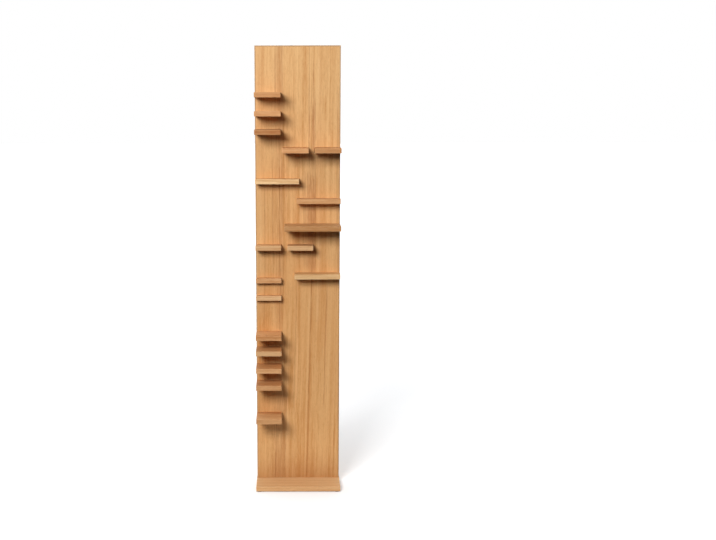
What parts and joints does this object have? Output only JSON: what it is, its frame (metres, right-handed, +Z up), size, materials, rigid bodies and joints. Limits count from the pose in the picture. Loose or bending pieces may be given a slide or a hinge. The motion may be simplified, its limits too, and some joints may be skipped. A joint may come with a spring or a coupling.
{
  "type": "spine bookshelf",
  "caption": "Tall narrow free-standing bookshelf: an upright veneered panel on a shallow base board, with small cantilevered shelves of different widths and depths on its front.",
  "frame": {"origin": "on the floor, in the middle of the bounding box of the whole bookshelf", "axes": "+Z up; the front with the shelves faces -Y and the flat back faces +Y; +X to the right seen from the front"},
  "size_m": [0.383, 0.1482, 2],
  "materials": {
    "panel_veneer": "oiled honey-coloured veneer with upright grain",
    "lipping_wood": "oiled solid wood strip",
    "shelf_wood": "oiled solid wood, grain along the shelf, tone varies from shelf to shelf",
    "base_wood": "oiled solid wood, grain along the board",
    "core_board": "raw core board",
    "dowel_beech": "raw beech",
    "felt": "pressed wool felt",
    "ballast_steel": "black powder-coated steel plate",
    "hanger_steel": "zinc-plated pressed steel",
    "screw_steel": "yellow-passivated steel screws"
  },
  "bodies": {
    "root": {"back_panel_core": "core_board", "back_veneer": "panel_veneer", "ballast_plate": "ballast_steel", "ballast_screws": "screw_steel", "base_board": "base_wood", "base_dowels": "dowel_beech", "base_screws": "screw_steel", "felt_pads": "felt", "front_veneer": "panel_veneer", "hanger_plates": "hanger_steel", "hanger_screws": "screw_steel", "left_lipping": "lipping_wood", "long_shelf_dowels": "dowel_beech", "long_shelf_screws": "screw_steel", "medium_shelf_screws": "screw_steel", "right_lipping": "lipping_wood", "shelf_01_left": "shelf_wood", "shelf_02_left": "shelf_wood", "shelf_03_left": "shelf_wood", "shelf_04_centre": "shelf_wood", "shelf_05_right": "shelf_wood", "shelf_06_left_half": "shelf_wood", "shelf_07_right_half": "shelf_wood", "shelf_08_right_wide": "shelf_wood", "shelf_09_left": "shelf_wood", "shelf_10_centre": "shelf_wood", "shelf_11_right": "shelf_wood", "shelf_12_left_ledge": "shelf_wood", "shelf_13_left_ledge": "shelf_wood", "shelf_14_left": "shelf_wood", "shelf_15_left": "shelf_wood", "shelf_16_left": "shelf_wood", "shelf_17_left": "shelf_wood", "shelf_18_left": "shelf_wood", "short_shelf_dowels": "dowel_beech", "short_shelf_screws": "screw_steel", "top_lipping": "lipping_wood"}
  },
  "joints": []
}
